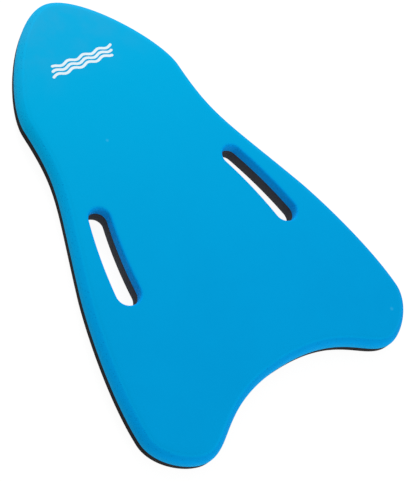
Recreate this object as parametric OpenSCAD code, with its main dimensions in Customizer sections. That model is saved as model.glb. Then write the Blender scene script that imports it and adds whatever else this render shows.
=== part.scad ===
// Kickboard float: two laminated sheets of closed-cell foam with a pair of through hand slots.
// Frame: millimetres, origin at the middle of the footprint on the underside,
// +Y towards the nose, +X to the swimmer's right, +Z up through the deck.

/* [Board] */
// Length from the nose tip to the tail tips
board_length = 440; // [380:5:530]
// Width across the tail, at its widest
tail_width = 308; // [260:2:370]
// Width across the shoulders of the nose
head_width = 176; // [150:2:212]
// Thickness of the lower foam sheet
base_thickness = 13.6; // [10:0.1:20]
// Thickness of the upper foam sheet
deck_thickness = 11.6; // [10.6:0.1:20]
// Thickness of the adhesive that joins the two sheets
bond_thickness = 0.2; // [0.2:0.05:0.6]

/* [Outline] */
// Distance from the nose tip back to the shoulders
nose_length = 108; // [90:2:130]
// Height of the widest line above the tail tips
hip_height = 44; // [38:1:54]
// Distance between the two tail tips
tip_spacing = 220; // [190:2:240]
// Depth of the hollow between the tail tips
notch_depth = 35.5; // [20:0.5:44]
// Height above the tail tips where the flank runs straightest
flank_height = 178; // [150:2:200]
// How far the flank there lies inside the widest line
flank_inset = 26.5; // [20:0.5:34]
// Lean of the flank there, in degrees from the centre line
flank_lean = 20; // [14:1:24]

/* [Edges] */
// Radius of the rounded edge around the deck
deck_edge_radius = 10; // [4:0.5:10]
// Radius of the rounded edge around the underside
base_edge_radius = 8; // [3:0.5:9.5]
// Radius of the softened rim of each hand slot on the deck
deck_rim_radius = 2.5; // [1:0.25:4]
// Radius of the softened rim of each hand slot on the underside
base_rim_radius = 1.5; // [1:0.25:4]

/* [Hand slots] */
// Length of a hand slot from end to end
slot_length = 93; // [80:1:112]
// Width of a hand slot at its front end
slot_front_width = 20; // [16:0.5:26]
// Width of a hand slot at its rear end
slot_rear_width = 23; // [18:0.5:28]
// Outward bow of a hand slot at mid length
slot_bow = 1.6; // [0:0.1:3]
// Splay of a hand slot, in degrees from the centre line
slot_splay = 12.5; // [8:0.5:16]
// How far the middle of a hand slot lies inside the widest line
slot_inset = 69; // [64:0.5:84]
// Height of the middle of a hand slot above the tail tips
slot_height = 192; // [170:2:215]

/* [Printed mark] */
// Length of the printed wave stripes
mark_width = 68; // [50:2:90]
// Distance from the nose tip back to the middle of the mark
mark_setback = 70; // [60:1:100]
// How far the mark stands to the right of the centre line, or to the left if negative
mark_offset = -3.4; // [-10:0.2:10]
// Width of one printed stripe
stripe_width = 2.6; // [1.6:0.2:4]
// Distance from one stripe to the next
stripe_pitch = 4.4; // [4.4:0.2:7]
// Sideways lead of each stripe over the one behind it
stripe_lead = 2.4; // [0:0.2:4]
// Height of a wave from its middle line
wave_height = 1.2; // [0.6:0.2:2]
// Thickness of the printed ink
ink_thickness = 0.15; // [0.1:0.05:0.3]

/* [Hidden] */
board_thickness = base_thickness + bond_thickness + deck_thickness;
bond_top = base_thickness + bond_thickness;
over = 0.3; // how far a cutter runs on past a face
edge_steps = 6; // facets around a rounded edge
rim_steps = 4; // facets around a slot's rim
stripe_count = 3;
waves = 4; // wave crests along a stripe
wave_steps = 12; // straight steps in one wave
middle = board_length / 2;

// ---- curves ----

function bezier(p, q, r, s, t) =
    pow(1 - t, 3) * p + 3 * pow(1 - t, 2) * t * q + 3 * (1 - t) * t * t * r + pow(t, 3) * s;

// A smooth run of n steps from p to q. It leaves along u and arrives along v,
// and each pull says how far, in chord lengths, it holds that direction.
function run(p, u, pull_p, q, v, pull_q, n) =
    let (c = norm(q - p))
    [for (i = [0 : n - 1]) bezier(p, p + u * pull_p * c, q - v * pull_q * c, q, i / n)];

right = [1, 0];
left = [-1, 0];
back = [0, -1];
nose = [0, board_length];
shoulder = [head_width / 2, board_length - nose_length];
flank = [tail_width / 2 - flank_inset, flank_height];
flank_run = [sin(flank_lean), -cos(flank_lean)];
hip = [tail_width / 2, hip_height];
tip = [tip_spacing / 2, 0];
notch = [0, notch_depth];
notch_steps = 20;

// Right half of the outline, from the nose tip round to the middle of the notch
half = concat(
    run(nose, right, 0.26, shoulder, back, 0.23, 18),
    run(shoulder, back, 0.38, flank, flank_run, 0.57, 14),
    run(flank, flank_run, 0.18, hip, back, 0.34, 10),
    run(hip, back, 0.37, tip, left, 0.265, 12),
    run(tip, left, 0.235, notch, left, 0.63, notch_steps),
    [notch]
);
h = len(half) - 1;
outline = concat(half, [for (i = [h - 1 : -1 : 1]) [-half[i][0], half[i][1]]]);

// Unit vector pointing out of a clockwise loop at corner i
function outward(loop, i) =
    let (n = len(loop), d = loop[(i + 1) % n] - loop[(i + n - 1) % n])
    [-d[1], d[0]] / norm(d);

function grown(loop, by) = [for (i = [0 : len(loop) - 1]) loop[i] + outward(loop, i) * by];

function lifted(loop, z) = [for (p = loop) [p[0], p[1] - middle, z]];

// ---- closed solids from stacked loops ----

// Triangles between loop k and the loop above it, n corners each
function band(k, n) = [
    for (i = [0 : n - 1])
    let (j = (i + 1) % n, a = k * n + i, b = k * n + j)
    each [[a, b, a + n], [b, b + n, a + n]]
];

function flipped(faces) = [for (f = faces) [for (i = [len(f) - 1 : -1 : 0]) f[i]]];

// Flat cover of the whole outline: rungs across the board from the nose back,
// then rungs across each tail lobe from its tip.
tip_at = h - notch_steps;
last_rung = tip_at - notch_steps;
size = 2 * h;
function twin(i) = (size - i) % size; // the same corner on the other side
board_cover = concat(
    [for (i = [0 : last_rung - 1]) each i == 0
        ? [[0, 1, twin(1)]]
        : [[i, i + 1, twin(i + 1)], [i, twin(i + 1), twin(i)]]],
    [[last_rung, h, twin(last_rung)]],
    [for (j = [0 : notch_steps - 1]) each j == 0
        ? [[tip_at - 1, tip_at, tip_at + 1]]
        : [[tip_at - j - 1, tip_at - j, tip_at + j], [tip_at - j - 1, tip_at + j, tip_at + j + 1]]],
    [for (j = [0 : notch_steps - 1]) each j == 0
        ? [[twin(tip_at), twin(tip_at - 1), twin(tip_at + 1)]]
        : [[twin(tip_at - j), twin(tip_at - j - 1), twin(tip_at + j)],
           [twin(tip_at - j - 1), twin(tip_at + j + 1), twin(tip_at + j)]]]
);

// Stacks [growth, z] copies of a clockwise loop, lowest first, between two flat covers
module stack(loop, levels, cover) {
    n = len(loop);
    top = (len(levels) - 1) * n;
    polyhedron(
        points = [for (l = levels) each lifted(grown(loop, l[0]), l[1])],
        faces = concat(
            [for (k = [0 : len(levels) - 2]) each flipped(band(k, n))],
            flipped([for (f = cover) [for (i = f) i]]),
            [for (f = cover) [for (i = f) i + top]]
        )
    );
}

// ---- hand slots ----

slot_reach = slot_length - (slot_front_width + slot_rear_width) / 2;
side_steps = 8;
end_steps = 12;
slot_run = [sin(slot_splay), -cos(slot_splay)];
slot_side = [cos(slot_splay), sin(slot_splay)];
slot_middle = [tail_width / 2 - slot_inset, slot_height];
slot_front = slot_middle - slot_run * slot_reach / 2;
slot_rear = slot_middle + slot_run * slot_reach / 2;

// Middle line, direction and half width of the slot at share t of its reach
function slot_path(t) = slot_front + slot_run * slot_reach * t + slot_side * 4 * slot_bow * t * (1 - t);
function slot_way(t) =
    let (d = slot_run * slot_reach + slot_side * 4 * slot_bow * (1 - 2 * t)) d / norm(d);
function slot_half(t) = ((1 - t) * slot_front_width + t * slot_rear_width) / 2;
function slot_edge(t, a) = // a: 0 is the outer side, 90 straight on, 180 the inner side
    let (w = slot_way(t), s = [-w[1], w[0]])
    slot_path(t) + (s * cos(a) + w * sin(a)) * slot_half(t);

slot_loop = concat(
    [for (i = [0 : side_steps - 1]) slot_edge(i / side_steps, 0)],
    [for (i = [0 : end_steps - 1]) slot_edge(1, 180 * i / end_steps)],
    [for (i = [0 : side_steps - 1]) slot_edge(1 - i / side_steps, 180)],
    [for (i = [0 : end_steps - 1]) slot_edge(0, 180 + 180 * i / end_steps)]
);
slot_size = len(slot_loop);
slot_half_end = end_steps / 2;
slot_tail_at = side_steps + slot_half_end; // corner at the very rear of the slot
function slot_corner(i) = (i + slot_size) % slot_size;
slot_cover = [
    for (j = [0 : slot_size / 2 - 1])
    let (a = slot_corner(slot_tail_at - j), b = slot_corner(slot_tail_at - j - 1))
    let (c = slot_corner(slot_tail_at + j), d = slot_corner(slot_tail_at + j + 1))
    each j == 0 ? [[b, a, d]] : j == slot_size / 2 - 1 ? [[b, a, c]] : [[b, a, c], [b, c, d]]
];

// Rim levels from the wall out to a face: quarter round, then on past the face on the same slope
function rim(radius, steps) =
    let (a = 90 - 90 / steps, lean = (1 - sin(a)) / cos(a))
    concat(
        [for (i = [0 : steps - 1]) let (a = 90 * i / steps) [radius * (1 - cos(a)), radius * sin(a)]],
        [[radius + over / lean, radius + over]]
    );

slot_levels = concat(
    [for (l = flipped([rim(base_rim_radius, rim_steps)])[0]) [l[0], base_rim_radius - l[1]]],
    [for (l = rim(deck_rim_radius, rim_steps)) [l[0], board_thickness - deck_rim_radius + l[1]]]
);

module slot_cutter() {
    stack(slot_loop, slot_levels, slot_cover);
}

module both_slots() {
    slot_cutter();
    mirror([1, 0, 0]) slot_cutter();
}

// ---- pieces ----

deck_levels = concat(
    [[0, bond_top]],
    [for (i = [0 : edge_steps])
        let (a = 90 * i / edge_steps)
        [-deck_edge_radius * (1 - cos(a)), board_thickness - deck_edge_radius * (1 - sin(a))]]
);

base_levels = concat(
    [for (i = [edge_steps : -1 : 0])
        let (a = 90 * i / edge_steps)
        [-base_edge_radius * (1 - cos(a)), base_edge_radius * (1 - sin(a))]],
    [[0, base_thickness]]
);

// Upper foam sheet, rounded over around its top edge
module deck_foam() {
    color([0.0, 0.37, 0.70])
    difference() {
        stack(outline, deck_levels, board_cover);
        both_slots();
    }
}

// Lower foam sheet, rounded under around its bottom edge
module base_foam() {
    color([0.03, 0.03, 0.035])
    difference() {
        stack(outline, base_levels, board_cover);
        both_slots();
    }
}

// Contact adhesive between the sheets, cut to the same outline and slots
module bond_film() {
    flat_slot = [for (p = slot_loop) [p[0], p[1] - middle]];
    color([0.35, 0.33, 0.25])
    translate([0, 0, base_thickness])
    linear_extrude(height = bond_thickness)
    difference() {
        polygon([for (p = outline) [p[0], p[1] - middle]]);
        polygon(flat_slot);
        mirror([1, 0]) polygon(flat_slot);
    }
}

// One wavy stripe, shifted sideways by lead. Its waves stay in step with its neighbours'.
module stripe(length, lead) {
    n = waves * wave_steps;
    function wave(i) =
        let (x = length * (i / n - 0.5) + lead) [x, wave_height * sin(360 * waves * x / length)];
    linear_extrude(height = ink_thickness)
    polygon(concat(
        [for (i = [0 : n]) wave(i) + [0, stripe_width / 2]],
        [for (i = [n : -1 : 0]) wave(i) - [0, stripe_width / 2]]
    ));
}

// Screen-printed mark near the nose: plain wave stripes, one solid each
module printed_mark() {
    color([0.93, 0.95, 0.96])
    for (i = [0 : stripe_count - 1])
        let (row = i - (stripe_count - 1) / 2)
        translate([mark_offset, middle - mark_setback + row * stripe_pitch, board_thickness])
        stripe(mark_width, row * stripe_lead);
}

deck_foam();
base_foam();
bond_film();
printed_mark();
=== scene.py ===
"""Looks for the kickboard float: two laminated foam sheets, their adhesive and a printed mark.

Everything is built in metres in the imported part's own frame: the origin is the middle of the
footprint on the underside, +Y runs to the nose and +Z up out of the deck. The sizes below are
written in millimetres, as a maker would give them, and turned to metres when a mesh is made.
"""

import logging
import math
from dataclasses import dataclass, field, replace
from enum import Enum
from typing import Any, Callable, Sequence

import bpy
import numpy as np
from mathutils import Matrix, Vector, noise
from mathutils.geometry import delaunay_2d_cdt


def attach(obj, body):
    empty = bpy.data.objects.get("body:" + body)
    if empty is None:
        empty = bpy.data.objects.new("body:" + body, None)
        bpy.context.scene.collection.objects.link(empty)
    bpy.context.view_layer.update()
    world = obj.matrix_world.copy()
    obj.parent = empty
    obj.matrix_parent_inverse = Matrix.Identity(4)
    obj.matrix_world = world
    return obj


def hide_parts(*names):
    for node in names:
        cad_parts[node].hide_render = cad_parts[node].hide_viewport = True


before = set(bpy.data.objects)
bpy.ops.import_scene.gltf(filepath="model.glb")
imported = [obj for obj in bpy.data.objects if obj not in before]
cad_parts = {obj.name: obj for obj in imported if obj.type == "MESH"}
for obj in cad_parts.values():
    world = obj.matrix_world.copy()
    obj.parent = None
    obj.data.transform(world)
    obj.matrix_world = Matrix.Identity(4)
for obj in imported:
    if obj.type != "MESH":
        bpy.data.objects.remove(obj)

MM = 0.001
# Faces that meet at more than this are shaded as a true edge.
SHARP_DEG = 35.0
# Corners of a cover that lie closer than this are taken as one.
WELD_MM = 1e-6
LOG = logging.getLogger("kickboard")

Points = np.ndarray
Link = tuple[Any, str, str]


# --- Colours and shader nodes ---


def linear(hex_colour: str) -> tuple[float, float, float, float]:
    """Turns an sRGB hex colour to the linear values that a shader takes.

    Args:
        hex_colour: Six hex digits after a hash, such as "#1fa8e0".

    Returns:
        Linear red, green and blue from 0 to 1, and an alpha of 1.
    """
    digits = hex_colour.lstrip("#")
    channels = [int(digits[i : i + 2], 16) / 255 for i in (0, 2, 4)]
    red, green, blue = (c / 12.92 if c <= 0.04045 else ((c + 0.055) / 1.055) ** 2.4 for c in channels)
    return (red, green, blue, 1.0)


def add_node(
    tree: bpy.types.NodeTree,
    kind: str,
    settings: dict[str, Any] | None = None,
    values: dict[str, Any] | None = None,
    links: Sequence[Link] = (),
) -> bpy.types.Node:
    """Adds one shader node with its settings, its unlinked values and its incoming links.

    Args:
        tree: The material's node tree.
        kind: The node's type name, such as "ShaderNodeTexNoise".
        settings: Properties of the node itself, such as its operation.
        values: Input sockets by name or number, and the value that each takes.
        links: One (source node, its output, this node's input) for each incoming link.

    Returns:
        The new node.
    """
    node = tree.nodes.new(kind)
    for name, value in (settings or {}).items():
        setattr(node, name, value)
    for socket, value in (values or {}).items():
        node.inputs[socket].default_value = value
    for source, output, socket in links:
        tree.links.new(source.outputs[output], node.inputs[socket])
    return node


def new_material(name: str) -> tuple[bpy.types.Material, bpy.types.NodeTree]:
    """Makes an empty node material.

    Args:
        name: The real material and how its surface was made.

    Returns:
        The material and its cleared node tree.
    """
    material = bpy.data.materials.new(name)
    material.use_nodes = True
    material.node_tree.nodes.clear()
    return material, material.node_tree


# --- Finishes ---


@dataclass(frozen=True)
class RoutedEva:
    """Closed-cell EVA foam: pressed in a bun, split into sheet, then routed round its edges.

    To the eye it is matt and even, with a soft bloom of lighter and darker patches from the
    press. Routed walls cut the cells open, so they are coarser than the split faces; their
    colour is partly the cut foam's own deeper tone and partly painted light and shade. The
    open cells are darkened as painted shade, and a pale painted highlight runs where a rounded
    edge meets the face.
    """

    name: str
    colour: str
    bloom_colour: str
    # The routed walls' colour is partly the cut foam's tone and partly painted light and shade.
    cut_and_painted_light_colour: str
    # The open cells' colour is painted shade.
    painted_pit_shade_colour: str
    worn_colour: str
    # The edge line's colour is a painted highlight.
    painted_highlight_colour: str
    roughness: float = 0.7
    rough_spread: float = 0.06
    ior: float = 1.49
    specular: float = 0.1
    gloss_tint: str = "#ffffff"
    bloom_mm: float = 48.0
    bloom_ramp: tuple[float, float] = (0.32, 0.68)
    # How level a surface is where each edge mask starts and is full: 1 is flat, 0 is upright.
    routed_ramp: tuple[float, float] = (0.985, 0.85)
    upright_ramp: tuple[float, float] = (0.6, 0.1)
    # The painted highlight lies in a thin band where a rounded edge leaves the flat face.
    painted_highlight_rise: tuple[float, float] = (0.985, 0.94)
    painted_highlight_fall: tuple[float, float] = (0.91, 0.86)
    # How much of each tone shows where its mask is full. At 0 the foam has none of it.
    # The routed walls' tone is partly painted light and shade.
    cut_and_painted_light_most: float = 0.85
    # Painted shade: upright walls are drawn darker.
    painted_wall_shade_colour: str = "#000000"
    painted_wall_shade_most: float = 0.0
    # How much painted highlight shows along the rounded edges.
    painted_highlight_most: float = 0.12
    # Painted light: lighter and greener toward the nose, where the light is stronger: where that starts
    # and is full.
    painted_nose_light_colour: str = "#000000"
    painted_nose_light_from_mm: float = -200.0
    painted_nose_light_full_mm: float = 220.0
    painted_nose_light_most: float = 0.0
    # Painted sheen: a pale, cloudy sheen lies on the nose alone.
    painted_sheen_colour: str = "#ffffff"
    painted_sheen_from_mm: float = 110.0
    painted_sheen_full_mm: float = 205.0
    painted_sheen_mm: float = 24.0
    painted_sheen_ramp: tuple[float, float] = (0.35, 0.7)
    painted_sheen_least: float = 0.35
    painted_sheen_most: float = 0.0
    # Real EVA cells are 0.2 to 0.4 mm across. They are drawn at 1.1 mm so that they show.
    cell_mm: float = 1.1
    cell_depth_mm: float = 0.05
    # Cut-open cells are drawn 1 mm across and 2.4 mm apart, coarser than real, to show as well.
    pore_mm: float = 2.4
    pit_ramp: tuple[float, float] = (0.30, 0.12)
    pore_depth_mm: float = 0.16
    # Painted shade: the open cells are drawn darker.
    painted_pit_shade_most: float = 0.45
    ripple_mm: float = 9.0
    ripple_ramp: tuple[float, float] = (0.3, 0.7)
    ripple_depth_mm: float = 0.035
    # Small pale knocks in the face: x, y and z of the middle, and the radius.
    knocks_mm: tuple[tuple[float, float, float, float], ...] = ()
    knock_most: float = 0.35

    def build(self) -> bpy.types.Material:
        """Builds the foam.

        Returns:
            The finished material.
        """
        material, tree = new_material(self.name)
        place = add_node(tree, "ShaderNodeTexCoord")
        routed, upright, painted_highlight = self.edge_masks(tree)
        pits = self.open_cells(tree, place, routed)
        tone = self.colouring(tree, place, routed, upright, painted_highlight, pits)
        ripple = add_node(
            tree,
            "ShaderNodeTexNoise",
            values={"Scale": 1 / (self.ripple_mm * MM), "Detail": 2.0},
            links=[(place, "Object", "Vector")],
        )
        dullness = add_node(
            tree,
            "ShaderNodeMapRange",
            values={
                "From Min": self.ripple_ramp[0],
                "From Max": self.ripple_ramp[1],
                "To Min": self.roughness - self.rough_spread,
                "To Max": self.roughness + self.rough_spread,
            },
            links=[(ripple, "Fac", "Value")],
        )
        relief = self.relief(tree, place, ripple, pits)
        shader = add_node(
            tree,
            "ShaderNodeBsdfPrincipled",
            values={
                "IOR": self.ior,
                "Specular IOR Level": self.specular,
                "Specular Tint": linear(self.gloss_tint),
            },
            links=[
                (tone, "Result", "Base Color"),
                (dullness, "Result", "Roughness"),
                (relief, "Normal", "Normal"),
            ],
        )
        add_node(tree, "ShaderNodeOutputMaterial", links=[(shader, "BSDF", "Surface")])
        return material

    def edge_masks(
        self, tree: bpy.types.NodeTree
    ) -> tuple[bpy.types.Node, bpy.types.Node, bpy.types.Node]:
        """Finds the routed edges and the painted highlight line from how far a surface leans.

        Args:
            tree: The material's node tree.

        Returns:
            Nodes that are 1 on walls and rounded edges, on upright walls, and on the painted highlight
            line.
        """
        surface = add_node(tree, "ShaderNodeNewGeometry")
        facing = add_node(tree, "ShaderNodeSeparateXYZ", links=[(surface, "Normal", "Vector")])
        level = add_node(tree, "ShaderNodeMath", {"operation": "ABSOLUTE"}, links=[(facing, "Z", 0)])
        smooth = {"interpolation_type": "SMOOTHSTEP"}
        routed, upright, rise, fall = (
            add_node(
                tree,
                "ShaderNodeMapRange",
                smooth,
                {"From Min": start, "From Max": end, "To Min": first, "To Max": 1.0 - first},
                [(level, "Value", "Value")],
            )
            for (start, end), first in (
                (self.routed_ramp, 0.0),
                (self.upright_ramp, 0.0),
                (self.painted_highlight_rise, 0.0),
                (self.painted_highlight_fall, 1.0),
            )
        )
        # Painted highlight: a thin band where the rounding leaves the flat face.
        painted_highlight = add_node(
            tree,
            "ShaderNodeMath",
            {"operation": "MULTIPLY"},
            links=[(rise, "Result", 0), (fall, "Result", 1)],
        )
        return routed, upright, painted_highlight

    def open_cells(
        self, tree: bpy.types.NodeTree, place: bpy.types.Node, routed: bpy.types.Node
    ) -> bpy.types.Node:
        """Scatters cut-open cells over the routed walls.

        Args:
            tree: The material's node tree.
            place: The texture coordinates.
            routed: The mask of routed walls.

        Returns:
            A node that is 1 in each pit.
        """
        pores = add_node(
            tree,
            "ShaderNodeTexVoronoi",
            values={"Scale": 1 / (self.pore_mm * MM)},
            links=[(place, "Object", "Vector")],
        )
        pit = add_node(
            tree,
            "ShaderNodeMapRange",
            {"interpolation_type": "SMOOTHSTEP"},
            {"From Min": self.pit_ramp[0], "From Max": self.pit_ramp[1]},
            [(pores, "Distance", "Value")],
        )
        return add_node(
            tree,
            "ShaderNodeMath",
            {"operation": "MULTIPLY"},
            links=[(pit, "Result", 0), (routed, "Result", 1)],
        )

    def colouring(
        self,
        tree: bpy.types.NodeTree,
        place: bpy.types.Node,
        routed: bpy.types.Node,
        upright: bpy.types.Node,
        painted_highlight: bpy.types.Node,
        pits: bpy.types.Node,
    ) -> bpy.types.Node:
        """Lays the foam's colours over each other.

        Args:
            tree: The material's node tree.
            place: The texture coordinates.
            routed: The mask of routed walls.
            upright: The mask of walls that stand upright, which take the painted shade.
            painted_highlight: The mask of the painted highlight line.
            pits: The mask of cut-open cells, which also take painted shade.

        Returns:
            The last colour mix.
        """
        patches, sheen_noise = (
            add_node(
                tree,
                "ShaderNodeTexNoise",
                values={"Scale": 1 / (size * MM), "Detail": 4.0, "Roughness": 0.55},
                links=[(place, "Object", "Vector")],
            )
            for size in (self.bloom_mm, self.painted_sheen_mm)
        )
        along = add_node(tree, "ShaderNodeSeparateXYZ", links=[(place, "Object", "Vector")])
        painted_nose_light, nose = (
            add_node(
                tree,
                "ShaderNodeMapRange",
                {"interpolation_type": "SMOOTHSTEP"},
                {"From Min": start * MM, "From Max": full * MM},
                [(along, "Y", "Value")],
            )
            for start, full in (
                (self.painted_nose_light_from_mm, self.painted_nose_light_full_mm),
                (self.painted_sheen_from_mm, self.painted_sheen_full_mm),
            )
        )
        # The painted sheen breaks up into clouds over the nose.
        sheen_breakup = add_node(
            tree,
            "ShaderNodeMapRange",
            {"interpolation_type": "SMOOTHSTEP"},
            {
                "From Min": self.painted_sheen_ramp[0],
                "From Max": self.painted_sheen_ramp[1],
                "To Min": self.painted_sheen_least,
            },
            [(sheen_noise, "Fac", "Value")],
        )
        painted_sheen = add_node(
            tree,
            "ShaderNodeMath",
            {"operation": "MULTIPLY"},
            links=[(nose, "Result", 0), (sheen_breakup, "Result", 1)],
        )
        bloom = add_node(
            tree,
            "ShaderNodeMapRange",
            {"interpolation_type": "SMOOTHSTEP"},
            {"From Min": self.bloom_ramp[0], "From Max": self.bloom_ramp[1]},
            [(patches, "Fac", "Value")],
        )
        layers = [
            (bloom, self.bloom_colour, 1.0),
            # The routed walls' tone: partly cut foam, partly painted light and shade.
            (routed, self.cut_and_painted_light_colour, self.cut_and_painted_light_most),
            # Painted light: lighter and greener toward the nose.
            (painted_nose_light, self.painted_nose_light_colour, self.painted_nose_light_most),
            # Painted shade on upright walls.
            (upright, self.painted_wall_shade_colour, self.painted_wall_shade_most),
            # Painted sheen on the nose.
            (painted_sheen, self.painted_sheen_colour, self.painted_sheen_most),
            # Painted highlight along the rounded edges and slot rims.
            (painted_highlight, self.painted_highlight_colour, self.painted_highlight_most),
            # Painted shade in the open cells.
            (pits, self.painted_pit_shade_colour, self.painted_pit_shade_most),
        ]
        for x, y, z, radius in self.knocks_mm:
            away = add_node(
                tree,
                "ShaderNodeVectorMath",
                {"operation": "DISTANCE"},
                {1: (x * MM, y * MM, z * MM)},
                [(place, "Object", 0)],
            )
            knock = add_node(
                tree,
                "ShaderNodeMapRange",
                {"interpolation_type": "SMOOTHSTEP"},
                {"From Min": radius * MM, "From Max": 0.0},
                [(away, "Value", "Value")],
            )
            layers.append((knock, self.worn_colour, self.knock_most))
        tone = None
        for mask, colour, most in layers:
            share = add_node(tree, "ShaderNodeMath", {"operation": "MULTIPLY"}, {1: most}, [(mask, 0, 0)])
            under = [(tone, "Result", "A")] if tone else []
            tone = add_node(
                tree,
                "ShaderNodeMix",
                {"data_type": "RGBA"},
                {"A": linear(self.colour), "B": linear(colour)},
                [(share, "Value", "Factor"), *under],
            )
        return tone

    def relief(
        self,
        tree: bpy.types.NodeTree,
        place: bpy.types.Node,
        ripple: bpy.types.Node,
        pits: bpy.types.Node,
    ) -> bpy.types.Node:
        """Adds the press's ripple, the cells and the open pits to the surface.

        Args:
            tree: The material's node tree.
            place: The texture coordinates.
            ripple: The ripple's height.
            pits: The mask of cut-open cells.

        Returns:
            The last bump.
        """
        cells = add_node(
            tree,
            "ShaderNodeTexVoronoi",
            values={"Scale": 1 / (self.cell_mm * MM)},
            links=[(place, "Object", "Vector")],
        )
        bump = None
        for height, output, depth_mm, strength, inward in (
            (ripple, "Fac", self.ripple_depth_mm, 1.0, False),
            (cells, "Distance", self.cell_depth_mm, 0.6, False),
            (pits, "Value", self.pore_depth_mm, 0.8, True),
        ):
            under = [(bump, "Normal", "Normal")] if bump else []
            bump = add_node(
                tree,
                "ShaderNodeBump",
                {"invert": inward},
                {"Strength": strength, "Distance": depth_mm * MM},
                [(height, output, "Height"), *under],
            )
        return bump


@dataclass(frozen=True)
class ContactAdhesive:
    """Solvent contact adhesive, rolled on and dried.

    It is a thin cloudy film, a shade lighter than the black sheet, that the eye only finds as
    a hairline down in the seam.
    """

    name: str = "contact_adhesive_dried"
    colour: str = "#3b3a36"
    cloud_colour: str = "#4a4840"
    roughness: float = 0.55
    ior: float = 1.5
    specular: float = 0.2
    cloud_mm: float = 6.0

    def build(self) -> bpy.types.Material:
        """Builds the adhesive.

        Returns:
            The finished material.
        """
        material, tree = new_material(self.name)
        place = add_node(tree, "ShaderNodeTexCoord")
        clouds = add_node(
            tree,
            "ShaderNodeTexNoise",
            values={"Scale": 1 / (self.cloud_mm * MM), "Detail": 3.0},
            links=[(place, "Object", "Vector")],
        )
        tone = add_node(
            tree,
            "ShaderNodeMix",
            {"data_type": "RGBA"},
            {"A": linear(self.colour), "B": linear(self.cloud_colour)},
            [(clouds, "Fac", "Factor")],
        )
        shader = add_node(
            tree,
            "ShaderNodeBsdfPrincipled",
            values={"Roughness": self.roughness, "IOR": self.ior, "Specular IOR Level": self.specular},
            links=[(tone, "Result", "Base Color")],
        )
        add_node(tree, "ShaderNodeOutputMaterial", links=[(shader, "BSDF", "Surface")])
        return material


@dataclass(frozen=True)
class ScreenInk:
    """White solvent ink, screen printed in one pass.

    It dries to a flat satin white. The mesh leaves the odd pinhole where the foam's own
    colour shows through, and the coat is a touch thinner here and there.
    """

    name: str = "white_ink_screen_printed"
    colour: str = "#e0eaee"
    thin_colour: str = "#c6dee8"
    ground_colour: str = "#1c9bd6"
    roughness: float = 0.5
    ior: float = 1.5
    specular: float = 0.3
    patch_mm: float = 7.0
    # Pinholes a few tenths of a millimetre across, one in each 2.2 mm or so.
    pinhole_mm: float = 2.2
    pinhole_ramp: tuple[float, float] = (0.10, 0.05)
    pinhole_most: float = 0.8

    def build(self) -> bpy.types.Material:
        """Builds the ink.

        Returns:
            The finished material.
        """
        material, tree = new_material(self.name)
        place = add_node(tree, "ShaderNodeTexCoord")
        patches = add_node(
            tree,
            "ShaderNodeTexNoise",
            values={"Scale": 1 / (self.patch_mm * MM), "Detail": 3.0},
            links=[(place, "Object", "Vector")],
        )
        coat = add_node(
            tree,
            "ShaderNodeMix",
            {"data_type": "RGBA"},
            {"A": linear(self.colour), "B": linear(self.thin_colour)},
            [(patches, "Fac", "Factor")],
        )
        holes = add_node(
            tree,
            "ShaderNodeTexVoronoi",
            values={"Scale": 1 / (self.pinhole_mm * MM)},
            links=[(place, "Object", "Vector")],
        )
        bare = add_node(
            tree,
            "ShaderNodeMapRange",
            values={
                "From Min": self.pinhole_ramp[0],
                "From Max": self.pinhole_ramp[1],
                "To Max": self.pinhole_most,
            },
            links=[(holes, "Distance", "Value")],
        )
        printed = add_node(
            tree,
            "ShaderNodeMix",
            {"data_type": "RGBA"},
            {"B": linear(self.ground_colour)},
            [(bare, "Result", "Factor"), (coat, "Result", "A")],
        )
        shader = add_node(
            tree,
            "ShaderNodeBsdfPrincipled",
            values={"Roughness": self.roughness, "IOR": self.ior, "Specular IOR Level": self.specular},
            links=[(printed, "Result", "Base Color")],
        )
        add_node(tree, "ShaderNodeOutputMaterial", links=[(shader, "BSDF", "Surface")])
        return material


@dataclass(frozen=True)
class OpalTable:
    """An opal acrylic light table: matt white, and faintly lit from beneath."""

    name: str = "opal_acrylic_lit"
    colour: str = "#626262"
    glow_colour: str = "#ffffff"
    glow: float = 0.93
    roughness: float = 0.9

    def build(self) -> bpy.types.Material:
        """Builds the table's surface.

        Returns:
            The finished material.
        """
        material, tree = new_material(self.name)
        shader = add_node(
            tree,
            "ShaderNodeBsdfPrincipled",
            values={
                "Base Color": linear(self.colour),
                "Roughness": self.roughness,
                "Specular IOR Level": 0.0,
                "Emission Color": linear(self.glow_colour),
                "Emission Strength": self.glow,
            },
        )
        add_node(tree, "ShaderNodeOutputMaterial", links=[(shader, "BSDF", "Surface")])
        return material


# --- Plan shapes: the board's outline and its hand slots, in millimetres ---


def bezier(points: Sequence[Points], shares: Points) -> Points:
    """Points along one cubic curve.

    Args:
        points: Its four control points.
        shares: How far along the curve each wanted point is, from 0 to 1.

    Returns:
        One point for each share.
    """
    p, q, r, s = (np.asarray(x, float) for x in points)
    t = shares[:, None]
    return (1 - t) ** 3 * p + 3 * (1 - t) ** 2 * t * q + 3 * (1 - t) * t * t * r + t**3 * s


def evenly(line: Points, count: int) -> Points:
    """Spreads points evenly along an open line.

    Args:
        line: The line's corners.
        count: How many steps it is cut into.

    Returns:
        count + 1 points, the first and last being the line's ends.
    """
    walked = np.r_[0, np.cumsum(np.linalg.norm(np.diff(line, axis=0), axis=1))]
    stops = np.linspace(0, walked[-1], count + 1)
    return np.stack([np.interp(stops, walked, line[:, k]) for k in (0, 1)], 1)


def outward(loop: Points) -> Points:
    """Finds which way is out at each corner of a clockwise loop.

    Args:
        loop: The loop's corners.

    Returns:
        One unit vector for each corner.
    """
    along = np.roll(loop, -1, 0) - np.roll(loop, 1, 0)
    across = np.stack([-along[:, 1], along[:, 0]], 1)
    return across / np.linalg.norm(across, axis=1)[:, None]


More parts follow.
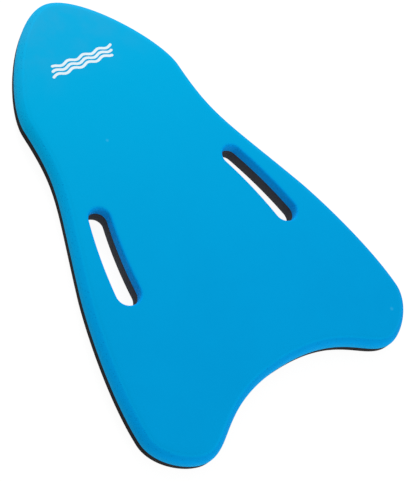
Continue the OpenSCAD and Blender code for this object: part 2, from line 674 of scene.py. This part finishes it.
@dataclass
class BoardOutline:
    """The board in plan: a rounded nose, shoulders, flared flanks and a two-lobed tail.

    Each pair of holds says how far a run keeps its first and its last direction, in lengths of
    the straight line between its ends. More hold makes a fuller curve.
    """

    length: float = 440.0
    tail_width: float = 308.0
    head_width: float = 176.0
    nose_length: float = 108.0
    # Heights are distances ahead of the tail's two tips.
    hip_height: float = 44.0
    tip_spacing: float = 220.0
    notch_depth: float = 35.5
    flank_height: float = 178.0
    flank_inset: float = 26.5
    flank_lean: float = 20.0
    nose_holds: tuple[float, float] = (0.26, 0.23)
    waist_holds: tuple[float, float] = (0.38, 0.57)
    flank_holds: tuple[float, float] = (0.18, 0.34)
    lobe_holds: tuple[float, float] = (0.37, 0.265)
    notch_holds: tuple[float, float] = (0.235, 0.63)
    run_steps: int = 160
    half_steps: int = 330

    def run(
        self, start: Points, leave: Points, end: Points, arrive: Points, holds: tuple[float, float]
    ) -> Points:
        """A smooth run between two stations, held to a direction at each end.

        Args:
            start: Where it starts.
            leave: The direction it leaves in.
            end: Where it ends.
            arrive: The direction it arrives in.
            holds: How far it holds each direction, in chord lengths.

        Returns:
            Its points, without the last.
        """
        chord = float(np.linalg.norm(end - start))
        controls = [start, start + leave * holds[0] * chord, end - arrive * holds[1] * chord, end]
        return bezier(controls, np.linspace(0, 1, self.run_steps, endpoint=False))

    def loop(self) -> Points:
        """The whole outline.

        Returns:
            Clockwise corners from the nose tip, even in spacing and the same on both sides.
        """
        right, left, back = np.array([1.0, 0]), np.array([-1.0, 0]), np.array([0, -1.0])
        lean = math.radians(self.flank_lean)
        flank_run = np.array([math.sin(lean), -math.cos(lean)])
        nose = np.array([0, self.length])
        shoulder = np.array([self.head_width / 2, self.length - self.nose_length])
        flank = np.array([self.tail_width / 2 - self.flank_inset, self.flank_height])
        hip = np.array([self.tail_width / 2, self.hip_height])
        tip = np.array([self.tip_spacing / 2, 0])
        notch = np.array([0, self.notch_depth])
        half = np.vstack(
            [
                self.run(nose, right, shoulder, back, self.nose_holds),
                self.run(shoulder, back, flank, flank_run, self.waist_holds),
                self.run(flank, flank_run, hip, back, self.flank_holds),
                self.run(hip, back, tip, left, self.lobe_holds),
                self.run(tip, left, notch, left, self.notch_holds),
                notch[None],
            ]
        )
        half = evenly(half, self.half_steps)
        whole = np.vstack([half, (half[1:-1] * [-1, 1])[::-1]])
        return whole - [0, self.length / 2]


class Side(Enum):
    """Which side of the centre line a slot is on, seen from above with the nose ahead."""

    RIGHT = 1
    LEFT = -1


@dataclass
class HandSlot:
    """One through slot for four fingers: splayed, a little wider behind, and bowed outward."""

    side: Side
    length: float = 93.0
    front_width: float = 20.0
    rear_width: float = 23.0
    bow: float = 1.6
    splay: float = 12.5
    # Its middle: how far in from the board's widest point, and how far ahead of the tail's tips.
    inset: float = 69.0
    height: float = 192.0
    side_steps: int = 40
    end_steps: int = 24

    def loop(self, board: BoardOutline) -> Points:
        """The slot's wall in plan.

        Args:
            board: The outline that the slot is placed from.

        Returns:
            Its corners, clockwise.
        """
        lean = math.radians(self.splay)
        run = np.array([math.sin(lean), -math.cos(lean)])
        side = np.array([math.cos(lean), math.sin(lean)])
        reach = self.length - (self.front_width + self.rear_width) / 2
        middle = np.array([board.tail_width / 2 - self.inset, self.height - board.length / 2])
        front = middle - run * reach / 2

        def edge(share: float, angle: float) -> Points:
            """Places one corner of the wall.

            Args:
                share: How far along the reach it is, from 0 in front to 1 behind.
                angle: How far it is turned from the outer side, in radians.

            Returns:
                The corner.
            """
            centre = front + run * reach * share + side * 4 * self.bow * share * (1 - share)
            way = run * reach + side * 4 * self.bow * (1 - 2 * share)
            way = way / np.linalg.norm(way)
            across = np.array([-way[1], way[0]])
            half = ((1 - share) * self.front_width + share * self.rear_width) / 2
            return centre + (across * math.cos(angle) + way * math.sin(angle)) * half

        n, m = self.side_steps, self.end_steps
        corners = [edge(i / n, 0) for i in range(n)]
        corners += [edge(1, math.pi * i / m) for i in range(m)]
        corners += [edge(1 - i / n, math.pi) for i in range(n)]
        corners += [edge(0, math.pi + math.pi * i / m) for i in range(m)]
        loop = np.array(corners)
        return loop if self.side is Side.RIGHT else (loop * [-1, 1])[::-1]


# --- Plates: closed solids with an outline and through slots ---


@dataclass
class PlateMesh:
    """Gathers the corners and faces of one closed piece, in millimetres."""

    corners: list[tuple[float, float, float]] = field(default_factory=list)
    faces: list[tuple[int, ...]] = field(default_factory=list)
    bore_faces: set[int] = field(default_factory=set)
    # The extra corners of a cover: the gap between their rows, and from them to its edge, as
    # shares of their spacing.
    row_share: float = 0.87
    clear_share: float = 0.55

    def add_loop(self, loop: Points, z: float) -> list[int]:
        """Adds a loop at one height.

        Args:
            loop: Its corners in plan.
            z: Its height.

        Returns:
            The corners' numbers.
        """
        first = len(self.corners)
        self.corners += [(float(x), float(y), float(z)) for x, y in loop]
        return list(range(first, len(self.corners)))

    def add_band(self, low: Sequence[int], high: Sequence[int], inside: bool = False) -> None:
        """Joins two loops with quads.

        Args:
            low: The lower loop's corner numbers, clockwise seen from above.
            high: The upper loop's.
            inside: Whether the band is the wall of a hole, which faces the other way.
        """
        for i in range(len(low)):
            j = (i + 1) % len(low)
            quad = (low[i], high[i], high[j], low[j])
            if inside:
                self.bore_faces.add(len(self.faces))
            self.faces.append(quad[::-1] if inside else quad)

    def add_cover(
        self, outer: Sequence[int], holes: Sequence[Sequence[int]], z: float, up: bool, grid: float = 0.0
    ) -> None:
        """Covers the flat ground between an outer loop and the holes in it.

        Args:
            outer: The outer loop's corner numbers.
            holes: Each hole's.
            z: The cover's height.
            up: Whether it faces up.
            grid: Spacing of extra corners inside it, or 0 for none.
        """
        loops = [list(outer), *[list(h) for h in holes]]
        flat = [np.array([self.corners[i][:2] for i in loop]) for loop in loops]
        known = [i for loop in loops for i in loop]
        edges, base = [], 0
        for loop in loops:
            edges += [(base + i, base + (i + 1) % len(loop)) for i in range(len(loop))]
            base += len(loop)
        inner = self.grid_points(flat, grid) if grid else np.zeros((0, 2))
        known += self.add_loop(inner, z)
        plan = np.vstack([*flat, inner])
        corners, _, triangles, sources, _, _ = delaunay_2d_cdt(
            [Vector(p) for p in plan], edges, [], 1, WELD_MM
        )
        number = [known[s[0]] for s in sources]
        for triangle in triangles:
            centre = np.mean([[corners[i].x, corners[i].y] for i in triangle], axis=0)[None]
            if not inside_loop(flat[0], centre)[0] or any(inside_loop(f, centre)[0] for f in flat[1:]):
                continue
            face = tuple(number[i] for i in triangle)
            self.faces.append(face if up else face[::-1])

    def grid_points(self, loops: Sequence[Points], grid: float) -> Points:
        """Staggered points over a cover, clear of its edges.

        Args:
            loops: The outer loop, then the holes.
            grid: The points' spacing.

        Returns:
            The points.
        """
        low, high = loops[0].min(0), loops[0].max(0)
        rows = np.arange(low[1] + grid / 2, high[1], grid * self.row_share)
        points = np.array(
            [
                (x, y)
                for k, y in enumerate(rows)
                for x in np.arange(low[0] + (k % 2) * grid / 2, high[0], grid)
            ]
        )
        keep = inside_loop(loops[0], points)
        for hole in loops[1:]:
            keep &= ~inside_loop(hole, points)
        points = points[keep]
        border = np.vstack(loops)
        gap = np.array([np.min(np.sum((border - p) ** 2, axis=1)) for p in points])
        return points[gap > (self.clear_share * grid) ** 2]

    def lower_top(self, drop: Callable[[float, float, float], float]) -> None:
        """Moves each corner down by drop(x, y, z)."""
        self.corners = [(x, y, z - drop(x, y, z)) for x, y, z in self.corners]

    def object(
        self, name: str, finish: bpy.types.Material, bore_finish: bpy.types.Material | None = None
    ) -> bpy.types.Object:
        """Makes the Blender object, with its faces smooth but for its true edges.

        Args:
            name: The piece's name.
            finish: The material of the piece.
            bore_finish: The material of the walls of its holes, if it's another.

        Returns:
            The object, linked to the scene.
        """
        mesh = bpy.data.meshes.new(name)
        mesh.from_pydata([(x * MM, y * MM, z * MM) for x, y, z in self.corners], [], self.faces)
        mesh.materials.append(finish)
        if bore_finish:
            mesh.materials.append(bore_finish)
            parts = [int(i in self.bore_faces) for i in range(len(self.faces))]
            mesh.polygons.foreach_set("material_index", parts)
        mesh.polygons.foreach_set("use_smooth", [True] * len(self.faces))
        mesh.set_sharp_from_angle(angle=math.radians(SHARP_DEG))
        mesh.update()
        piece = bpy.data.objects.new(name, mesh)
        bpy.context.scene.collection.objects.link(piece)
        return piece


def inside_loop(loop: Points, points: Points) -> np.ndarray:
    """Which points lie inside a closed loop.

    Args:
        loop: The loop's corners.
        points: The points to test.

    Returns:
        One truth value for each point.
    """
    x, y = points[:, 0][:, None], points[:, 1][:, None]
    ax, ay = loop[:, 0][None], loop[:, 1][None]
    bx, by = np.roll(loop[:, 0], -1)[None], np.roll(loop[:, 1], -1)[None]
    spans = (ay > y) != (by > y)
    with np.errstate(divide="ignore", invalid="ignore"):
        crossing = (bx - ax) * (y - ay) / (by - ay) + ax
    return (np.sum(spans & (x < crossing), axis=1) % 2).astype(bool)


class Facing(Enum):
    """Which way a foam sheet's open face looks, away from the bond."""

    UP = 1
    DOWN = -1


@dataclass
class FoamSheet:
    """One sheet of the laminate: flat on its bonded side, rounded over on its open side."""

    name: str
    facing: Facing
    bond_z: float
    face_z: float
    edge_radius: float
    rim_radius: float
    finish: RoutedEva
    bore_finish: RoutedEva
    seam_break: float = 0.25
    edge_steps: int = 14
    rim_steps: int = 8
    grid: float = 5.0
    # Slow dips in the open face, as in any split sheet: their depth, size and place in the noise.
    dip_depth: float = 0.0
    dip_size: float = 90.0
    dip_slice: float = 3.7

    def drop(self, x: float, y: float, z: float) -> float:
        """Finds how far a corner sinks with the dips in the open face.

        Args:
            x: The corner's place across the board, in millimetres.
            y: Its place along the board.
            z: Its height.

        Returns:
            How far it goes down. This fades to nothing where the edge's rounding starts.
        """
        depth = (self.face_z - z) * self.facing.value
        share = max(0.0, 1 - depth / self.edge_radius)
        wave = noise.noise(Vector((x / self.dip_size, y / self.dip_size, self.dip_slice)))
        return self.facing.value * self.dip_depth * share * share * (0.5 + 0.5 * wave)

    def levels(self, radius: float, steps: int) -> list[tuple[float, float]]:
        """The edge's profile, from the bonded side to the open face.

        Args:
            radius: The rounding's radius.
            steps: How many facets it has.

        Returns:
            (how far it has drawn in from the wall, height) for each loop.
        """
        way = self.facing.value
        profile = [(self.seam_break, self.bond_z), (0.0, self.bond_z + way * self.seam_break)]
        turn = self.face_z - way * radius
        for i in range(steps + 1):
            angle = math.pi / 2 * i / steps
            profile.append((radius * (1 - math.cos(angle)), turn + way * radius * math.sin(angle)))
        return profile

    def build(self, board: BoardOutline, slots: Sequence[HandSlot]) -> bpy.types.Object:
        """Builds and dresses the sheet.

        Args:
            board: The outline it is cut to.
            slots: The hand slots through it.

        Returns:
            The piece.
        """
        mesh = PlateMesh()
        up = self.facing is Facing.UP
        outline = board.loop()
        away = outward(outline)
        edge = self.levels(self.edge_radius, self.edge_steps)
        rim = self.levels(self.rim_radius, self.rim_steps)
        rings = [mesh.add_loop(outline - away * inset, z) for inset, z in edge]
        for low, high in zip(rings, rings[1:]):
            mesh.add_band(*((low, high) if up else (high, low)))
        first_holes, last_holes = [], []
        for slot in slots:
            wall = slot.loop(board)
            out = outward(wall)
            holes = [mesh.add_loop(wall + out * flare, z) for flare, z in rim]
            for low, high in zip(holes, holes[1:]):
                mesh.add_band(*((low, high) if up else (high, low)), inside=True)
            first_holes.append(holes[0])
            last_holes.append(holes[-1])
        mesh.add_cover(rings[0], first_holes, self.bond_z, not up)
        mesh.add_cover(rings[-1], last_holes, self.face_z, up, self.grid)
        mesh.lower_top(self.drop)
        return mesh.object(self.name, self.finish.build(), self.bore_finish.build())


@dataclass
class BondFilm:
    """The dried adhesive between the sheets, held back a hair from every edge."""

    name: str
    low_z: float
    high_z: float
    setback: float = 0.2
    finish: ContactAdhesive = field(default_factory=ContactAdhesive)

    def build(self, board: BoardOutline, slots: Sequence[HandSlot]) -> bpy.types.Object:
        """Builds and dresses the film.

        Args:
            board: The outline it follows.
            slots: The hand slots it leaves open.

        Returns:
            The piece.
        """
        mesh = PlateMesh()
        outline = board.loop()
        outline = outline - outward(outline) * self.setback
        walls = [slot.loop(board) for slot in slots]
        walls = [wall + outward(wall) * self.setback for wall in walls]
        low, high = (mesh.add_loop(outline, z) for z in (self.low_z, self.high_z))
        mesh.add_band(low, high)
        low_holes = [mesh.add_loop(wall, self.low_z) for wall in walls]
        high_holes = [mesh.add_loop(wall, self.high_z) for wall in walls]
        for below, above in zip(low_holes, high_holes):
            mesh.add_band(below, above, inside=True)
        mesh.add_cover(low, low_holes, self.low_z, False)
        mesh.add_cover(high, high_holes, self.high_z, True)
        return mesh.object(self.name, self.finish.build())


@dataclass
class WaveMark:
    """A plain printed mark near the nose: three wavy stripes with rounded ends."""

    name: str
    deck: FoamSheet
    width: float = 68.0
    # The mark's middle: how far behind the nose's tip, and how far right of the centre line.
    setback: float = 70.0
    offset: float = -3.4
    stripe_width: float = 2.6
    pitch: float = 4.4
    lead: float = 2.4
    wave_height: float = 1.2
    thickness: float = 0.15
    stripes: int = 3
    waves: int = 4
    steps: int = 160
    # The least half width at a stripe's end, squared, as a share of its radius squared.
    end_least: float = 0.02
    finish: ScreenInk = field(default_factory=ScreenInk)

    def ribbon(self, lead: float) -> tuple[Points, Points]:
        """Draws the two long sides of one stripe, with its ends drawn in to half rounds.

        Args:
            lead: How far the stripe is shifted sideways. Its waves stay in step all the same.

        Returns:
            The forward and the rear side about the mark's middle, point for point.
        """
        from_middle = np.linspace(-self.width / 2, self.width / 2, self.steps + 1)
        along = from_middle + lead
        wave = self.wave_height * np.sin(2 * math.pi * self.waves * along / self.width)
        centre = np.stack([along, wave], 1)
        way = np.gradient(centre, axis=0)
        way /= np.linalg.norm(way, axis=1)[:, None]
        across = np.stack([-way[:, 1], way[:, 0]], 1)
        radius = self.stripe_width / 2
        tuck = np.clip(1 - (self.width / 2 - np.abs(from_middle)) / radius, 0, 1)
        half = radius * np.sqrt(np.clip(1 - tuck**2, self.end_least, 1))[:, None]
        return centre + across * half, centre - across * half

    def build(self, board: BoardOutline) -> bpy.types.Object:
        """Builds and dresses the mark.

        Args:
            board: The outline whose nose it is placed from.

        Returns:
            The piece.
        """
        mesh = PlateMesh()
        bottom, top = self.deck.face_z, self.deck.face_z + self.thickness
        for k in range(self.stripes):
            row = k - (self.stripes - 1) / 2
            place = np.array([self.offset, board.length / 2 - self.setback + row * self.pitch])
            fore, rear = (side + place for side in self.ribbon(row * self.lead))
            high_fore, high_rear = mesh.add_loop(fore, top), mesh.add_loop(rear, top)
            low_fore, low_rear = mesh.add_loop(fore, bottom), mesh.add_loop(rear, bottom)
            mesh.add_band(low_fore + low_rear[::-1], high_fore + high_rear[::-1])
            for i in range(self.steps):
                mesh.faces.append((high_rear[i], high_rear[i + 1], high_fore[i + 1], high_fore[i]))
                mesh.faces.append((low_fore[i], low_fore[i + 1], low_rear[i + 1], low_rear[i]))
        mesh.lower_top(lambda x, y, z: self.deck.drop(x, y, self.deck.face_z))
        return mesh.object(self.name, self.finish.build())


# --- Board ---


@dataclass
class Kickboard:
    """The whole float, built from its four pieces."""

    base_thickness: float = 13.6
    bond_thickness: float = 0.2
    deck_thickness: float = 11.6
    outline: BoardOutline = field(default_factory=BoardOutline)
    slots: list[HandSlot] = field(default_factory=lambda: [HandSlot(side) for side in Side])
    # The die-cut slot walls are one even tone, a little bluer and lighter than the deck as painted light,
    # with no painted nose light or sheen.
    blue_bore: RoutedEva = RoutedEva(
        name="blue_eva_die_cut",
        colour="#0099d7",
        bloom_colour="#009bd9",
        # Slot walls drawn lighter and bluer: partly painted light.
        cut_and_painted_light_colour="#009ae3",
        painted_pit_shade_colour="#0086cc",
        worn_colour="#48b6e4",
        # Painted highlight on the slot rims.
        painted_highlight_colour="#00b6f2",
        specular=0.03,
        gloss_tint="#7fdcff",
        cut_and_painted_light_most=1.0,
        painted_highlight_most=0.22,
    )
    # The sheet is drawn lighter and greener toward the nose as painted light, its upright walls darker
    # and greener as painted shade, and two knocks show.
    blue_sheet: RoutedEva = replace(
        blue_bore,
        name="blue_eva_split_and_routed",
        # Bluer routed edges: partly cut foam, partly painted shade.
        cut_and_painted_light_colour="#0097de",
        painted_pit_shade_colour="#0082c6",
        # Painted shade on the upright walls.
        painted_wall_shade_colour="#0a94c0",
        painted_wall_shade_most=0.45,
        # Painted highlight along the deck's rounded edge.
        painted_highlight_most=0.17,
        # Painted light toward the nose.
        painted_nose_light_colour="#00a4d5",
        painted_nose_light_most=1.0,
        # Painted sheen on the nose.
        painted_sheen_colour="#4896c0",
        painted_sheen_most=0.2,
        knocks_mm=((-28.0, 69.6, 25.4, 2.2), (128.3, -193.7, 25.4, 2.6)),
    )
    # The black sheet is duller and drinks up the light, so its grain hardly shows.
    black_sheet: RoutedEva = RoutedEva(
        name="black_eva_split_and_routed",
        colour="#161618",
        bloom_colour="#1c1c1e",
        cut_and_painted_light_colour="#1a1819",
        painted_pit_shade_colour="#0a0909",
        worn_colour="#3a3a3c",
        # Painted highlight along the black sheet's rounded edge.
        painted_highlight_colour="#262628",
        roughness=0.75,
        specular=0.05,
    )
    # Its die-cut walls are chalkier, a dark grey.
    black_bore: RoutedEva = replace(
        black_sheet,
        name="black_eva_die_cut",
        cut_and_painted_light_colour="#3e3e42",
        painted_pit_shade_colour="#26262a",
        cut_and_painted_light_most=1.0,
        painted_highlight_most=0.0,
    )

    def build(self) -> list[bpy.types.Object]:
        """Builds every piece in the order it is laminated.

        Returns:
            The pieces, from the underside up.
        """
        bond_top = self.base_thickness + self.bond_thickness
        base = FoamSheet(
            name="base_sheet",
            facing=Facing.DOWN,
            bond_z=self.base_thickness,
            face_z=0.0,
            edge_radius=8.0,
            rim_radius=1.5,
            finish=self.black_sheet,
            bore_finish=self.black_bore,
        )
        film = BondFilm("adhesive_film", self.base_thickness, bond_top)
        deck = FoamSheet(
            name="deck_sheet",
            facing=Facing.UP,
            bond_z=bond_top,
            face_z=bond_top + self.deck_thickness,
            edge_radius=10.0,
            rim_radius=2.5,
            finish=self.blue_sheet,
            bore_finish=self.blue_bore,
            dip_depth=0.12,
        )
        mark = WaveMark("wave_print", deck)
        return [
            self.take_over(base.build(self.outline, self.slots), "base_foam", padded=True),
            self.take_over(film.build(self.outline, self.slots), "bond_film"),
            self.take_over(deck.build(self.outline, self.slots), "deck_foam", padded=True),
            self.take_over(mark.build(self.outline), "printed_mark"),
        ]

    @staticmethod
    def take_over(piece: bpy.types.Object, node: str, padded: bool = False) -> bpy.types.Object:
        """Puts a finished piece in the place of its CAD node.

        Args:
            piece: The piece.
            node: The CAD node it stands for.
            padded: Whether the piece is foam. It is not used.

        Returns:
            The piece.
        """
        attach(piece, "root")
        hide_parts(node)
        LOG.info("%s stands for %s with %d faces", piece.name, node, len(piece.data.polygons))
        return piece


# --- Studio ---


@dataclass
class SoftBox:
    """One square soft light, aimed at a point, all in metres."""

    name: str
    place: tuple[float, float, float]
    aim: tuple[float, float, float]
    size: float
    watts: float
    tint: str = "#ffffff"

    def build(self) -> bpy.types.Object:
        """Makes the light.

        Returns:
            The light's object.
        """
        light = bpy.data.lights.new(self.name, "AREA")
        light.shape = "SQUARE"
        light.size = self.size
        light.energy = self.watts
        light.color = linear(self.tint)[:3]
        lamp = bpy.data.objects.new(self.name, light)
        lamp.location = self.place
        lamp.visible_camera = False
        lamp.rotation_euler = (Vector(self.aim) - Vector(self.place)).to_track_quat("-Z", "Y").to_euler()
        bpy.context.scene.collection.objects.link(lamp)
        return lamp


@dataclass
class Studio:
    """Light table, soft lights, surroundings and the camera."""

    table_size: float = 30.0
    table_z: float = -0.0004
    sky: float = 0.63
    sky_tint: str = "#ffffff"
    # Where the camera looks, how far off it stands, and its angles in degrees: round from +X,
    # up from the table, and its own roll.
    camera_aim: tuple[float, float, float] = (0.010475, -0.053374, 0.0127)
    camera_distance: float = 1.078137
    camera_round: float = -161.9097
    camera_height: float = 57.2507
    camera_roll: float = 41.0623
    sensor_mm: float = 36.0
    lens_mm: float = 88.43
    clip: tuple[float, float] = (0.01, 50.0)
    lights: list[SoftBox] = field(
        default_factory=lambda: [
            SoftBox("key_box", place=(0.35, 0.95, 0.85), aim=(0.0, 0.1, 0.0), size=0.6, watts=10.2),
            SoftBox("fill_box", place=(0.2, -1.95, 0.44), aim=(0.0, -0.1, 0.0), size=0.8, watts=12.0),
        ]
    )

    def build(self) -> None:
        """Makes the whole studio."""
        self.lay_table()
        for light in self.lights:
            light.build()
        self.light_surroundings()
        self.place_camera()
        scene = bpy.context.scene
        scene.view_settings.view_transform = "Standard"
        scene.view_settings.look = "None"
        scene.view_settings.exposure = 0.0
        scene.view_settings.gamma = 1.0

    def lay_table(self) -> None:
        """Lays the plain pale table that the board rests on."""
        half = self.table_size / 2
        corners = [(x * half, y * half, self.table_z) for x, y in ((-1, -1), (1, -1), (1, 1), (-1, 1))]
        mesh = bpy.data.meshes.new("table")
        mesh.from_pydata(corners, [], [(0, 1, 2, 3)])
        mesh.materials.append(OpalTable().build())
        table = bpy.data.objects.new("table", mesh)
        bpy.context.scene.collection.objects.link(table)

    def light_surroundings(self) -> None:
        """Fills the room with an even pale light."""
        world = bpy.data.worlds.new("studio_room")
        world.use_nodes = True
        world.node_tree.nodes.clear()
        room = add_node(
            world.node_tree,
            "ShaderNodeBackground",
            values={"Color": linear(self.sky_tint), "Strength": self.sky},
        )
        add_node(world.node_tree, "ShaderNodeOutputWorld", links=[(room, "Background", "Surface")])
        bpy.context.scene.world = world

    def place_camera(self) -> None:
        """Puts the camera over the board's left, turned so that the nose is at the upper left."""
        data = bpy.data.cameras.new("camera")
        data.sensor_fit = "AUTO"
        data.sensor_width = self.sensor_mm
        data.lens = self.lens_mm
        data.clip_start, data.clip_end = self.clip
        camera = bpy.data.objects.new("camera", data)
        around, above = math.radians(self.camera_round), math.radians(self.camera_height)
        level = math.cos(above)
        back = Vector((level * math.cos(around), level * math.sin(around), math.sin(above)))
        roll = Matrix.Rotation(math.radians(self.camera_roll), 4, "Z")
        turn = back.to_track_quat("Z", "Y").to_matrix().to_4x4() @ roll
        place = Vector(self.camera_aim) + back * self.camera_distance
        camera.matrix_world = Matrix.Translation(place) @ turn
        bpy.context.scene.collection.objects.link(camera)
        bpy.context.scene.camera = camera


def main() -> None:
    logging.basicConfig(level=logging.INFO, format="%(name)s: %(message)s")
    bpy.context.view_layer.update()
    pieces = Kickboard().build()
    Studio().build()
    bpy.context.view_layer.update()
    LOG.info("%d pieces built", len(pieces))


if __name__ == "__main__":
    main()
